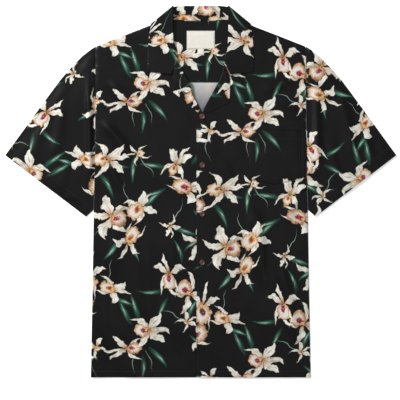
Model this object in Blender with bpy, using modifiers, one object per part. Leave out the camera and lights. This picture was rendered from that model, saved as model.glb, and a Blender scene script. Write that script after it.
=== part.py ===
"""A short-sleeved camp-collar shirt, buttoned and laid flat on its back. Metres, +Z up, +Y to the collar.

Every piece that a maker would cut and sew on is one object. Heights along the shirt are measured from
its hem, and the empty that holds the pieces puts the middle of the shirt over the origin.
The wearer's right is at -X and the wearer's left at +X.
"""

import math

import bmesh
import bpy
from mathutils import Vector

# Cloth and how it is stacked
CLOTH = 0.0010  # wall of one ply
COLLAR_WALL = 0.0012  # collar and lapels, which are two plies sewn together
PLY_GAP = 0.0003  # air between pieces that touch
LAID_GAP = 0.0006  # air under pieces laid on a curved panel
PLY = CLOTH + PLY_GAP

# Body: heights are above the hem
COLLAR_TOP = 0.7987
BREAK = 0.571  # where the two lapels part
UNDERARM = 0.360
YOKE_SEAM = 0.634
SHOULDER_TIP = Vector((0.226, 0.7106))
NECK_POINT = Vector((0.078, 0.768))
BACK_NECK = 0.7654  # the neck seam at the centre of the back
NECK_HALF = NECK_POINT.x

# Front opening
TOP_EDGE = -0.0090  # edge of the front that lies on top
UNDER_EDGE = 0.0150  # edge of the front beneath it
BUTTON_LINE = 0.003
BUTTON_PITCH = 0.1045
BUTTON_COUNT = 5
TOP_BUTTON = 0.5605
BUTTON_RADIUS = 0.0057
BUTTON_THICKNESS = 0.0024

# Sleeves
SLEEVE_TIP = Vector((0.4203, 0.4773))
SLEEVE_UNDER = Vector((0.2466, 0.3451))
SLEEVE_START = 0.0009  # the sleeve's own cloth begins this far outside the armhole seam

# Pocket, label and tab
POCKET_LOW = Vector((0.104, 0.414))
POCKET_HIGH = Vector((0.214, 0.532))
POCKET_POINT = 0.010  # how far the bottom's middle dips
LABEL_WIDTH, LABEL_HEIGHT, LABEL_TOP = 0.0600, 0.0385, 0.7440
TAB_WIDTH, TAB_HEIGHT = 0.0135, 0.0120
LABEL_WALL = 0.0010

# Rest height and soft folds
LOFT = 0.0011  # how far the front lies clear of the back
EDGE_ROUND = 0.014  # width over which a front comes down to a seam
YOKE_RAMP = 0.034  # length over which a front climbs onto the yoke
OVERLAP_RAMP = 0.026  # width over which the top front climbs onto the other
COLLAR_FOLD = 0.0024  # how far the collar's fold over the shoulder bulges

# Rows shared by the pieces stacked over the shoulders and neck, as heights above the hem
UPPER_ROWS = (YOKE_SEAM, 0.655, 0.675, 0.692, SHOULDER_TIP.y, 0.735, 0.752, NECK_POINT.y)

# Half of the body's outline: height above the hem, half width
HALF_WIDTH = (
    (0.000, 0.2365),
    (0.180, 0.2330),
    (UNDERARM, 0.2300),
    (0.450, 0.2275),
    (0.600, 0.2260),
    (SHOULDER_TIP.y, SHOULDER_TIP.x),
    (NECK_POINT.y, NECK_POINT.x),
)
# Inner edge of each front: height above the hem, x. Up to the break it is the front edge, then the
# lapel's roll line, then the neckline under the collar.
UNDER_FRONT_EDGE = (
    (0.000, UNDER_EDGE),
    (0.541, UNDER_EDGE),
    (BREAK, 0.0010),
    (0.6075, -0.0195),
    (YOKE_SEAM, -0.0245),
    (0.655, -0.0390),
    (0.675, -0.0490),
    (0.692, -0.0640),
    (0.730, -0.0700),
    (NECK_POINT.y, -0.0765),
)
TOP_FRONT_EDGE = (
    (0.000, TOP_EDGE),
    (0.551, TOP_EDGE),
    (BREAK, 0.0040),
    (0.6075, 0.0240),
    (YOKE_SEAM, 0.0385),
    (0.655, 0.0480),
    (0.675, 0.0515),
    (0.692, 0.0640),
    (0.730, 0.0700),
    (NECK_POINT.y, 0.0765),
)
# Lapels: the height where each begins to turn back, and its outer edge as x, height above the hem
ROLL_LOW = 0.5760
RIGHT_ROLL_HIGH, LEFT_ROLL_HIGH = 0.6770, 0.6715
RIGHT_OUTER = ((-0.0060, 0.5690), (-0.0608, 0.6138), (-0.0613, 0.6470))
LEFT_OUTER = ((0.0090, 0.5660), (0.0617, 0.5900), (0.0628, 0.6450))
# Upper fold of the sleeve, from shoulder to hem: x, height above the hem
SLEEVE_CREST = (
    (SHOULDER_TIP.x, SHOULDER_TIP.y),
    (0.2460, 0.6985),
    (0.2645, 0.6826),
    (0.2838, 0.6611),
    (0.3032, 0.6380),
    (0.3333, 0.5966),
    (SLEEVE_TIP.x, SLEEVE_TIP.y),
)
# Front half of the collar, on the +X side, from its end to the shoulder: roll line, free edge and
# neck seam, each as x and height above the hem
COLLAR_FRONT = (
    ((0.0632, 0.6500), (0.1146, 0.6568), (0.0680, 0.6510)),
    ((0.0510, 0.6810), (0.1142, 0.6760), (0.0635, 0.6850)),
    ((0.0570, 0.7060), (0.1134, 0.7000), (0.0700, 0.7080)),
    ((0.0590, 0.7450), (0.1108, 0.7310), (0.0760, 0.7430)),
)
# The same lines where the collar folds over the shoulder, and along the back
COLLAR_SHOULDER = ((0.0600, COLLAR_TOP), (0.1085, 0.7592), (0.0800, 0.7712))
COLLAR_BACK = (
    ((0.0400, COLLAR_TOP), (0.0640, 0.7560), (0.0480, 0.7684)),
    ((0.0200, COLLAR_TOP), (0.0320, 0.7545), (0.0240, 0.7672)),
    ((0.0000, COLLAR_TOP), (0.0000, 0.7537), (0.0000, 0.7668)),
)
# The largest soft folds: start x, start height, end x, end height, rise, half width
FOLDS = (
    (0.128, 0.430, 0.112, 0.110, 0.0016, 0.022),
    (0.196, 0.240, 0.205, 0.020, 0.0018, 0.020),
    (0.060, 0.330, 0.050, 0.060, 0.0010, 0.024),
    (-0.075, 0.420, -0.060, 0.080, 0.0010, 0.026),
    (-0.165, 0.300, -0.180, 0.040, 0.0013, 0.026),
    (-0.215, 0.560, -0.150, 0.470, 0.0012, 0.016),
    (0.213, 0.590, 0.150, 0.500, 0.0010, 0.016),
    (0.300, 0.600, 0.335, 0.450, 0.0012, 0.018),
    (-0.300, 0.600, -0.335, 0.450, 0.0012, 0.018),
)

# Colours and finishes: red, green, blue, roughness
PRINT_BLACK = (0.012, 0.012, 0.013, 0.62)
PALE_WRONG_SIDE = (0.46, 0.47, 0.50, 0.75)
LABEL_WHITE = (0.70, 0.69, 0.66, 0.55)
COCONUT_BROWN = (0.11, 0.055, 0.035, 0.40)


def clamp(value, low=0.0, high=1.0):
    return max(low, min(high, value))


def ease(value):
    """0 below 0, 1 above 1, and a smooth step between."""
    value = clamp(value)
    return value * value * (3 - 2 * value)


def blend(a, b, share):
    return a + (b - a) * share


def read(table, at):
    """The second column of a two-column table at a value of the first."""
    for (low, start), (high, end) in zip(table, table[1:]):
        if at <= high:
            return blend(start, end, clamp((at - low) / (high - low)))
    return table[-1][1]


def along(points, share):
    """The point at a share of a polyline's length."""
    points = [Vector(p) for p in points]
    lengths = [(b - a).length for a, b in zip(points, points[1:])]
    left = share * sum(lengths)
    for a, b, length in zip(points, points[1:], lengths):
        if left <= length:
            return a.lerp(b, left / length)
        left -= length
    return points[-1]


def half_width(height):
    return read(HALF_WIDTH, height)


def top_of_back(x):
    """Height of the yoke's upper edge: the shoulder seam, or the back neckline between the neck points."""
    x = abs(x)
    if x <= NECK_HALF:
        return blend(BACK_NECK, NECK_POINT.y, (x / NECK_HALF) ** 2)
    return blend(NECK_POINT.y, SHOULDER_TIP.y, (x - NECK_HALF) / (SHOULDER_TIP.x - NECK_HALF))


# How the stack of cloth lies: each function gives the level of a piece's underside


def over_collar(height):
    """The yoke and all above it lie on the back of the collar, which is folded beneath them."""
    low, high = UPPER_ROWS[4:6]
    return (COLLAR_WALL + PLY_GAP) * clamp((height - low) / (high - low))


def edge_distance(x, height):
    """Distance in from the seam at the shirt's side or shoulder. Along the armhole there is none."""
    x = abs(x)
    if UNDERARM < height < SHOULDER_TIP.y - 0.02 or x > SHOULDER_TIP.x + 0.01:
        return EDGE_ROUND
    if height <= UNDERARM:
        return half_width(height) - x
    slope = (NECK_POINT - SHOULDER_TIP).normalized()
    down = Vector((x, height)) - SHOULDER_TIP
    return abs(slope.cross(down))


def folds(x, height):
    """Sum of the soft folds at a point."""
    point = Vector((x, height))
    rise = 0.0
    for x0, y0, x1, y1, top, width in FOLDS:
        start, end = Vector((x0, y0)), Vector((x1, y1))
        line = end - start
        share = (point - start).dot(line) / line.length_squared
        off = (point - start.lerp(end, share)).length
        ends = ease(share / 0.3) * ease((1 - share) / 0.3)
        rise += top * ends * math.exp(-((off / width) ** 2))
    return rise


def front_level(x, height):
    """Underside of a front, or of a sleeve's upper ply, lying on the back."""
    yoke = PLY * ease((height - YOKE_SEAM) / YOKE_RAMP + 1) * ease((0.275 - abs(x)) / 0.04)
    lift = LOFT + folds(x, height)
    round_off = math.sqrt(1 - (1 - clamp(edge_distance(x, height) / EDGE_ROUND)) ** 2)
    return PLY + yoke + over_collar(height) + lift * round_off


def top_front_level(x, height):
    """Underside of the wearer's left front, which rises over the other front where they overlap."""
    overlap = PLY * ease((UNDER_EDGE - x) / OVERLAP_RAMP + 1)
    return front_level(x, height) + overlap


# Objects


def material(name, look):
    made = bpy.data.materials.get(name) or bpy.data.materials.new(name)
    made.use_nodes = True
    shader = made.node_tree.nodes["Principled BSDF"]
    shader.inputs["Base Color"].default_value = (*look[:3], 1)
    shader.inputs["Roughness"].default_value = look[3]
    shader.inputs["Metallic"].default_value = 0
    return made


def add_object(name, mesh, look_name, look):
    mesh.materials.append(material(look_name, look))
    obj = bpy.data.objects.new(name, mesh)
    collection.objects.link(obj)
    obj.parent = holder
    return obj


def cloth(name, columns, rows, place, look=("print", PRINT_BLACK), wall=CLOTH, offset=1.0, turn=False):
    """A ply of cloth: a grid whose point at (u, v), each 0 to 1, is put at place(u, v), made a wall.
    With offset 1 the grid is the ply's underside, with 0 its middle and with -1 its outer face. turn
    flips its faces."""
    bm = bmesh.new()
    bmesh.ops.create_grid(bm, x_segments=columns, y_segments=rows, size=0.5)
    for vert in bm.verts:
        vert.co = place(vert.co.x + 0.5, vert.co.y + 0.5)
    bmesh.ops.remove_doubles(bm, verts=bm.verts, dist=1e-6)
    if turn:
        bmesh.ops.reverse_faces(bm, faces=bm.faces)
    mesh = bpy.data.meshes.new(name)
    bm.to_mesh(mesh)
    bm.free()
    obj = add_object(name, mesh, *look)
    ply = obj.modifiers.new("ply", "SOLIDIFY")
    ply.thickness = wall
    ply.offset = offset
    mesh.shade_smooth()
    return obj


def make_back():
    def back(u, v):
        height = v * (YOKE_SEAM - PLY_GAP)
        return Vector(((2 * u - 1) * half_width(height), height, 0))

    def yoke(level):
        def place(u, v):
            row = UPPER_ROWS[round(v * (len(UPPER_ROWS) - 1))]
            x = (2 * u - 1) * half_width(row)
            height = min(row, top_of_back(x))
            return Vector((x, height, over_collar(height) + level))

        return place

    cloth("back_panel", 6, 8, back)
    cloth("back_yoke", 12, len(UPPER_ROWS) - 1, yoke(0.0))
    cloth("inner_yoke", 12, len(UPPER_ROWS) - 1, yoke(PLY))


def make_front(name, edge, side, level):
    """One front, from its inner edge to the side, armhole and shoulder. Rows are close together where
    the outline turns, and columns near the side seam."""
    outline = {h for h, _ in HALF_WIDTH} | {h for h, _ in edge}
    rows = sorted(outline | set(UPPER_ROWS) | {0.06, 0.12, 0.24, 0.30, 0.41, 0.49, 0.526, 0.590, 0.618})

    def place(u, v):
        height = rows[round(v * (len(rows) - 1))]
        outer = side * (half_width(height) - (PLY_GAP if UNDERARM < height < SHOULDER_TIP.y else 0))
        x = blend(read(edge, height), outer, 1 - (1 - u) ** 1.35)
        return Vector((x, height, level(x, height)))

    cloth(name, 13, len(rows) - 1, place, turn=side < 0)


def make_sleeve(name, side):
    """A flattened tube of cloth. Each ring runs along the upper ply from the crest to the underarm and
    back along the lower ply, which lies flat."""
    # At each fold: distance in from it, share of the tube's height
    round_ends = ((0.0, 0.5), (0.0005, 0.86), (0.0018, 1.0))
    points_across = 7
    rings = 9
    armhole = [Vector((read(HALF_WIDTH, h), h)) for h in (UNDERARM, 0.45, 0.60, SHOULDER_TIP.y)]
    pinch = 2 * CLOTH + 2 * PLY_GAP

    def ring_line(v, share):
        """A point at a share of the way from crest to underarm, on the ring at v."""
        crest = along(SLEEVE_CREST, v)
        under = Vector((half_width(UNDERARM), UNDERARM)).lerp(SLEEVE_UNDER, v)
        straight = crest.lerp(under, share)
        seam = along(armhole[::-1], share)
        return straight.lerp(seam, (1 - v) ** 8)

    def profile():
        """(share across, distance in from the crest or the underarm, height share) round the ring."""
        upper = [(0.0, inset, rise) for inset, rise in round_ends]
        upper += [(i / points_across, 0.0, 1.0) for i in range(1, points_across)]
        upper += [(1.0, -inset, rise) for inset, rise in round_ends[::-1]]
        lower = [(share, inset, 1 - rise) for share, inset, rise in upper[::-1]]
        return upper + lower[1:]

    ring = profile()

    def place(u, v):
        share, inset, rise = ring[round(u * (len(ring) - 1))]
        line = ring_line(v, 1) - ring_line(v, 0)
        spot = ring_line(v, share) + line.normalized() * inset
        spot.x += SLEEVE_START * (1 - v)
        near_fold = min((spot - ring_line(v, 0)).length, (ring_line(v, 1) - spot).length)
        near_seam = 1 - 0.55 * math.exp(-(((spot.x - SHOULDER_TIP.x) / 0.016) ** 2))
        round_off = ease(near_fold / 0.022)
        height = blend(pinch, front_level(spot.x, spot.y) + CLOTH, round_off * near_seam)
        return Vector((side * spot.x, spot.y, max(height, pinch) * rise))

    cloth(name, len(ring) - 1, rings, place, offset=-1.0, turn=side < 0)


def make_lapel(name, edge, roll_high, outer, level, turn):
    """A lapel turned back over its front, so the facing's face shows."""

    def place(u, v):
        height = blend(ROLL_LOW, roll_high, v)
        roll = Vector((read(edge, height), height))
        spot = roll.lerp(along(outer, v), u)
        return Vector((spot.x, spot.y, level(spot.x, spot.y) + CLOTH + LAID_GAP))

    cloth(name, 5, 10, place, wall=COLLAR_WALL, turn=turn)


def collar_sections():
    """The collar's cross-sections on the +X side, from its front end over the shoulder to the centre of
    the back. Each is seven points from the neck seam round the roll line to the free edge."""
    half_wall = COLLAR_WALL / 2
    turn = 0.0011  # radius of the roll

    def section(roll, free, seam, levels):
        """levels are z at the seam, under the roll, over the roll, 0.4 and 0.7 of the way out, and the
        free edge."""
        roll, free, seam = Vector(roll), Vector(free), Vector(seam)
        out, back = (free - roll).normalized(), (seam - roll).normalized()
        at_seam, under, over, near, far, edge = levels
        flat = (
            (seam, at_seam),
            (roll + back * turn, under),
            (roll, (under + over) / 2),
            (roll + out * turn, over),
            (roll.lerp(free, 0.4), near),
            (roll.lerp(free, 0.7), far),
            (free, edge),
        )
        return [Vector((spot.x, spot.y, z)) for spot, z in flat]

    def on_front(roll, free, seam):
        def rest(point):
            return front_level(*point) + CLOTH + LAID_GAP + half_wall

        base = rest(roll)
        far = Vector(roll).lerp(Vector(free), 0.7)
        near = Vector(roll).lerp(Vector(free), 0.4)
        return (
            rest(seam),
            base,
            base + 2 * turn,
            rest(near) + 1.8 * turn,
            rest(far) + 0.9 * turn,
            rest(free) + 0.1 * turn,
        )

    on_table = (half_wall,) * 4
    under_yoke = (over_collar(BACK_NECK) + CLOTH, half_wall + 2 * turn, *on_table)
    made = [section(*lines, on_front(*lines)) for lines in COLLAR_FRONT]
    roll, free, seam = (Vector(p) for p in COLLAR_SHOULDER)
    inward = Vector((-(roll - free).y, (roll - free).x)).normalized()
    shoulder_top = on_front(*(p + inward * COLLAR_FOLD for p in (roll, free, seam)))
    for degrees in (90, 45, 0, -45, -90):
        angle = math.radians(degrees)
        moved = inward * (half_wall + COLLAR_FOLD * (1 - math.cos(angle)))
        share = (1 - math.sin(angle)) / 2
        levels = [blend(a, b, share) for a, b in zip(shoulder_top, under_yoke)]
        made.append(section(roll + moved, free + moved, seam + moved * 1.2, levels))
    for roll, free, seam in COLLAR_BACK:
        made.append(section((roll[0], roll[1] - half_wall), free, seam, under_yoke))
    return made


def make_collar():
    sections = collar_sections()
    points = len(sections[0])

    def place(u, v):
        return sections[round(v * (len(sections) - 1))][round(u * (points - 1))]

    collar = cloth("collar", points - 1, len(sections) - 1, place, wall=COLLAR_WALL, offset=0.0)
    mirror = collar.modifiers.new("other half", "MIRROR")
    mirror.merge_threshold = 0.0001
    mirror.use_clip = True
    collar.modifiers.move(collar.modifiers.find(mirror.name), 0)


def make_pocket():
    """The patch pocket on the wearer's left front, with a shallow point."""

    def place(u, v):
        x = blend(POCKET_LOW.x, POCKET_HIGH.x, u)
        dip = POCKET_POINT * (1 - abs(2 * u - 1))
        height = blend(POCKET_LOW.y + POCKET_POINT - dip, POCKET_HIGH.y, v)
        return Vector((x, height, top_front_level(x, height) + CLOTH + LAID_GAP))

    cloth("pocket", 6, 6, place)


def make_labels():
    def patch(width, low, high):
        def place(u, v):
            x, height = (u - 0.5) * width, blend(low, high, v)
            return Vector((x, height, over_collar(height) + 2 * PLY))

        return place

    low = LABEL_TOP - LABEL_HEIGHT
    white = ("label", LABEL_WHITE)
    cloth("neck_label", 2, 3, patch(LABEL_WIDTH, low, LABEL_TOP), white, LABEL_WALL)
    cloth("size_tab", 1, 1, patch(TAB_WIDTH, low - TAB_HEIGHT, low - PLY_GAP), white, LABEL_WALL)


def make_buttons():
    """Turned discs with a raised rim, each resting on the top front."""
    rim, half = 0.0012, BUTTON_THICKNESS / 2
    profile = (  # radius, height over the button's underside
        (0.0, BUTTON_THICKNESS - 0.0006),
        (BUTTON_RADIUS - 2 * rim, BUTTON_THICKNESS - 0.0006),
        (BUTTON_RADIUS - rim, BUTTON_THICKNESS),
        (BUTTON_RADIUS - rim / 2, BUTTON_THICKNESS),
        (BUTTON_RADIUS, half),
        (BUTTON_RADIUS - rim / 2, 0.0),
        (0.0, 0.0),
    )
    for number in range(BUTTON_COUNT):
        height = TOP_BUTTON - number * BUTTON_PITCH
        mesh = bpy.data.meshes.new(f"button_{number + 1}")
        mesh.from_pydata([(r, 0, z) for r, z in profile], [(i, i + 1) for i in range(len(profile) - 1)], [])
        button = add_object(mesh.name, mesh, "button", COCONUT_BROWN)
        rest = max(
            top_front_level(BUTTON_LINE + dx, height + dy)
            for dx in (-BUTTON_RADIUS, 0, BUTTON_RADIUS)
            for dy in (-BUTTON_RADIUS, 0, BUTTON_RADIUS)
        )
        button.location = (BUTTON_LINE, height, rest + CLOTH + PLY_GAP)
        turned = button.modifiers.new("turned", "SCREW")
        turned.steps = turned.render_steps = 20
        turned.use_merge_vertices = True
        turned.merge_threshold = 0.00001


for leftover in list(bpy.data.objects):
    bpy.data.objects.remove(leftover)
collection = bpy.data.collections.new("camp_collar_shirt")
bpy.context.scene.collection.children.link(collection)
holder = bpy.data.objects.new("shirt", None)
holder.location = (0, -COLLAR_TOP / 2, 0)
collection.objects.link(holder)

make_back()
make_front("right_front", UNDER_FRONT_EDGE, -1, front_level)
make_front("left_front", TOP_FRONT_EDGE, 1, top_front_level)
make_sleeve("right_sleeve", -1)
make_sleeve("left_sleeve", 1)
make_lapel("right_facing", UNDER_FRONT_EDGE, RIGHT_ROLL_HIGH, RIGHT_OUTER, front_level, True)
make_lapel("left_facing", TOP_FRONT_EDGE, LEFT_ROLL_HIGH, LEFT_OUTER, top_front_level, False)
make_collar()
make_pocket()
make_labels()
make_buttons()
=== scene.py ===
import itertools
import math
import random

import bmesh
import bpy
import numpy as np
from mathutils import Matrix, Vector


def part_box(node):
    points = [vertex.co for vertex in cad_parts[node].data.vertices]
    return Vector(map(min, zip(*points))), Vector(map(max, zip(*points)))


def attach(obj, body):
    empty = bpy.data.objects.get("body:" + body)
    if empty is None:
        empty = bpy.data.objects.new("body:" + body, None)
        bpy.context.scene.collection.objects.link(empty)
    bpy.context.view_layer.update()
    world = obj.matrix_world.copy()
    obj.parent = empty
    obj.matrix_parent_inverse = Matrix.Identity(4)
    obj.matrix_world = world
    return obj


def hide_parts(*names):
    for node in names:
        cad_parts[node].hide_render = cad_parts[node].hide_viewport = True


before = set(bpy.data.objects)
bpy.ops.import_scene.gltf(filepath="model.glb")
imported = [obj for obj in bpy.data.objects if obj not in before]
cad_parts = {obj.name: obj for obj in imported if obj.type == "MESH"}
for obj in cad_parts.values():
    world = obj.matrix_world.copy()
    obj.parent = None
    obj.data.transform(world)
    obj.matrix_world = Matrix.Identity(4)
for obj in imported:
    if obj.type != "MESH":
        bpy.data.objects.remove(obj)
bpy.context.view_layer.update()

# ---- Sizes in metres. Heights along the shirt are measured from its hem, and the wearer's left is at +X.
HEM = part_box("back_panel")[0].y
CLOTH = 0.0010  # wall of one ply in the frame
PLY_GAP = 0.0003
PLY = CLOTH + PLY_GAP
COLLAR_WALL = 0.0012
SHELL = 0.0006  # thickness of the shells made here
COLLAR_SHELL = 0.0008
LABEL_SHELL = 0.0004
CLEAR = 0.0001  # kept between a face here and the frame's own plane
SEAM_GAP = 0.0002
SLEEVE_FOLD = 2 * SHELL + 0.0008  # thickness of a sleeve at its folds
HANDS = (("right", -1), ("left", 1))

COLLAR_TOP = 0.7987
BREAK = 0.571
UNDERARM = 0.360
YOKE_SEAM = 0.634
SHOULDER_TIP = (0.226, 0.7106)
NECK_POINT = (0.078, 0.768)
BACK_NECK = 0.7654
TOP_EDGE = -0.0090
UNDER_EDGE = 0.0150
SLEEVE_TIP = (0.4203, 0.4773)
SLEEVE_UNDER = (0.2466, 0.3451)
POCKET_LOW = (0.104, 0.414)
POCKET_HIGH = (0.214, 0.532)
POCKET_WIDTH = POCKET_HIGH[0] - POCKET_LOW[0]
POCKET_POINT = 0.010
LABEL_SIZE = (0.0600, 0.0385)
LABEL_TOP = 0.7440
TAB_SIZE = (0.0135, 0.0120)
HOLE_OFFSET = 0.00125  # from a button's middle, in x and in y
HOLE_RADIUS = 0.00075
BUTTONHOLE = 0.0170
STITCH, LABEL_STITCH = 0.0030, 0.0022  # from one stitch to the next
THREAD = 0.00018
STITCH_INSET = 0.0022
HEM_STITCH = 0.013
SLEEVE_HEM_STITCH = 0.022
RAYON_WEAVE = (0.0006, 0.00006)  # pitch and depth
LABEL_RIB = 0.0007
LOFT = 0.0011
EDGE_ROUND = 0.014
YOKE_RAMP = 0.034
OVERLAP_RAMP = 0.026
COLLAR_FOLD = 0.0024
OVER_COLLAR_ROWS = (SHOULDER_TIP[1], 0.735)

# Half of the body's outline: height, x
HALF_WIDTH = (
    (0.000, 0.2365),
    (0.180, 0.2330),
    (UNDERARM, 0.2300),
    (0.450, 0.2275),
    (0.600, 0.2260),
    (SHOULDER_TIP[1], SHOULDER_TIP[0]),
    (NECK_POINT[1], NECK_POINT[0]),
)
# Inner edge of each front: height, x
UNDER_FRONT_EDGE = (
    (0.000, UNDER_EDGE),
    (0.541, UNDER_EDGE),
    (BREAK, 0.0010),
    (0.6075, -0.0195),
    (YOKE_SEAM, -0.0245),
    (0.655, -0.0390),
    (0.675, -0.0490),
    (0.692, -0.0640),
    (0.730, -0.0700),
    (NECK_POINT[1], -0.0765),
)
TOP_FRONT_EDGE = (
    (0.000, TOP_EDGE),
    (0.551, TOP_EDGE),
    (BREAK, 0.0040),
    (0.6075, 0.0240),
    (YOKE_SEAM, 0.0385),
    (0.655, 0.0480),
    (0.675, 0.0515),
    (0.692, 0.0640),
    (0.730, 0.0700),
    (NECK_POINT[1], 0.0765),
)
ROLL_LOW = 0.5760
RIGHT_ROLL_HIGH, LEFT_ROLL_HIGH = 0.6770, 0.6715
RIGHT_OUTER = ((-0.0060, 0.5690), (-0.0608, 0.6138), (-0.0613, 0.6470))
LEFT_OUTER = ((0.0090, 0.5660), (0.0617, 0.5900), (0.0628, 0.6450))
# Upper fold of the sleeve: x, height
SLEEVE_CREST = (
    SHOULDER_TIP,
    (0.2460, 0.6985),
    (0.2645, 0.6826),
    (0.2838, 0.6611),
    (0.3032, 0.6380),
    (0.3333, 0.5966),
    SLEEVE_TIP,
)
# Collar on the +X side: roll line, free edge and neck seam, each x and height
COLLAR_FRONT = (
    ((0.0632, 0.6500), (0.1146, 0.6568), (0.0680, 0.6510)),
    ((0.0510, 0.6810), (0.1142, 0.6760), (0.0635, 0.6850)),
    ((0.0570, 0.7060), (0.1134, 0.7000), (0.0700, 0.7080)),
    ((0.0590, 0.7450), (0.1108, 0.7310), (0.0760, 0.7430)),
)
COLLAR_SHOULDER = ((0.0600, COLLAR_TOP), (0.1085, 0.7592), (0.0800, 0.7712))
COLLAR_BACK = (
    ((0.0400, COLLAR_TOP), (0.0640, 0.7560), (0.0480, 0.7684)),
    ((0.0200, COLLAR_TOP), (0.0320, 0.7545), (0.0240, 0.7672)),
    ((0.0000, COLLAR_TOP), (0.0000, 0.7537), (0.0000, 0.7668)),
)
# The frame's folds, then this model's own creases: start x, start height, end x, end height, rise, half width
FOLDS = (
    (0.128, 0.430, 0.112, 0.110, 0.0016, 0.022),
    (0.196, 0.240, 0.205, 0.020, 0.0018, 0.020),
    (0.060, 0.330, 0.050, 0.060, 0.0010, 0.024),
    (-0.075, 0.420, -0.060, 0.080, 0.0010, 0.026),
    (-0.165, 0.300, -0.180, 0.040, 0.0013, 0.026),
    (-0.215, 0.560, -0.150, 0.470, 0.0012, 0.016),
    (0.213, 0.590, 0.150, 0.500, 0.0010, 0.016),
    (0.300, 0.600, 0.335, 0.450, 0.0012, 0.018),
    (-0.300, 0.600, -0.335, 0.450, 0.0012, 0.018),
)
CREASES = (
    (0.119, 0.378, 0.136, 0.176, 0.0057, 0.0085),
    (0.146, 0.330, 0.154, 0.150, -0.0016, 0.0090),
    (0.168, 0.270, 0.206, 0.066, 0.0057, 0.0100),
    (0.106, 0.396, 0.112, 0.310, 0.0032, 0.0070),
    (0.058, 0.300, 0.066, 0.090, 0.0032, 0.0120),
    (0.040, 0.480, 0.070, 0.400, 0.0024, 0.0100),
    (-0.052, 0.380, -0.070, 0.150, 0.0035, 0.0125),
    (-0.118, 0.330, -0.108, 0.060, 0.0041, 0.0130),
    (-0.172, 0.410, -0.190, 0.190, 0.0049, 0.0105),
    (-0.214, 0.230, -0.200, 0.030, 0.0038, 0.0100),
    (-0.222, 0.560, -0.128, 0.455, 0.0049, 0.0090),
    (-0.224, 0.500, -0.160, 0.385, 0.0043, 0.0085),
    (-0.205, 0.640, -0.140, 0.585, 0.0032, 0.0100),
    (0.222, 0.575, 0.150, 0.560, 0.0030, 0.0090),
    (0.224, 0.420, 0.178, 0.330, 0.0043, 0.0090),
    (0.205, 0.640, 0.120, 0.610, 0.0027, 0.0100),
    (0.248, 0.650, 0.250, 0.420, 0.0054, 0.0085),
    (0.300, 0.620, 0.330, 0.470, 0.0032, 0.0105),
    (0.345, 0.545, 0.372, 0.455, 0.0024, 0.0090),
    (0.275, 0.520, 0.300, 0.400, 0.0024, 0.0085),
    (-0.2400, 0.665, -0.2385, 0.390, 0.0064, 0.0064),
    (-0.292, 0.610, -0.316, 0.450, 0.0036, 0.0105),
    (-0.338, 0.555, -0.360, 0.460, 0.0028, 0.0095),
    (-0.284, 0.480, -0.300, 0.390, 0.0026, 0.0085),
)

# ---- The printed design: sprigs of orchids and strap leaves on a repeat of this size
REPEAT = (0.360, 0.530)
# Where each piece is cut from the design: x, height. The pocket matches the left front.
CUT_AT = {
    "back": (0.11, 0.21),
    "yoke": (0.03, 0.02),
    "inner_yoke": (0.20, 0.31),
    "right_front": (0, 0),
    "left_front": (0.115, 0.065),
    "pocket": (0.1165, 0.064),
    "right_sleeve": (0.29, 0.40),
    "left_sleeve": (0.17, 0.40),
    "right_lapel": (0.21, 0.10),
    "left_lapel": (0.08, 0.29),
    "collar": (0.21, 0.33),
    "neck_label": (0, 0),
    "size_tab": (0.1, 0),
}
BLOOM_SLOTS = 3
LEAF_SLOTS = 3
# One sprig a row: x, height, turn in degrees, number of blooms, number of leaves, number of stems
SPRIGS = (
    (0.045, 0.040, 25, 3, 4, 1),
    (0.225, 0.085, 205, 2, 4, 2),
    (0.130, 0.180, 115, 3, 3, 1),
    (0.315, 0.205, -40, 2, 4, 1),
    (0.040, 0.305, 70, 3, 4, 1),
    (0.205, 0.330, 160, 3, 3, 2),
    (0.320, 0.430, -75, 2, 4, 2),
    (0.120, 0.460, 245, 3, 3, 1),
)
SINGLES = (  # x, height, turn in degrees, radius
    (0.135, 0.065, 40, 0.026),
    (0.295, 0.325, 200, 0.025),
    (0.225, 0.480, 100, 0.027),
    (0.330, 0.120, 300, 0.024),
)


def srgb(*colour):
    """A linear colour from red, green and blue of 0 to 255."""
    values = [c / 255 for c in colour]
    return tuple(c / 12.92 if c <= 0.04045 else ((c + 0.055) / 1.055) ** 2.4 for c in values) + (1.0,)


# ---- Arithmetic on arrays
def ease(value):
    value = np.clip(value, 0, 1)
    return value * value * (3 - 2 * value)


def blend(a, b, share):
    return a + (b - a) * share


def read(table, at):
    return np.interp(at, [row[0] for row in table], [row[1] for row in table])


def rounded(share):
    """A quarter circle: 0 at an edge, and 1 from a share of 1."""
    return np.sqrt(1 - (1 - np.clip(share, 0, 1)) ** 2)


def direction(start, end):
    step = np.array(end) - np.array(start)
    return step / np.linalg.norm(step)


SLEEVE_RUN = direction(SLEEVE_CREST[-2], SLEEVE_TIP)


def running(points, axis=0):
    """Distance from the first point to each, along a line of points."""
    steps = np.linalg.norm(np.diff(points, axis=axis), axis=-1)
    return np.insert(np.cumsum(steps, axis=axis), 0, 0, axis=axis)


def along(points, share):
    """x and height at a share of a polyline's length."""
    points = np.array(points, float)
    lengths = running(points)
    at = np.asarray(share) * lengths[-1]
    return np.interp(at, lengths, points[:, 0]), np.interp(at, lengths, points[:, 1])


def half_width(height):
    return read(HALF_WIDTH, height)


def top_of_back(x):
    x = np.abs(x)
    neck = blend(BACK_NECK, NECK_POINT[1], (x / NECK_POINT[0]) ** 2)
    share = (x - NECK_POINT[0]) / (SHOULDER_TIP[0] - NECK_POINT[0])
    return np.where(x <= NECK_POINT[0], neck, blend(NECK_POINT[1], SHOULDER_TIP[1], share))


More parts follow.
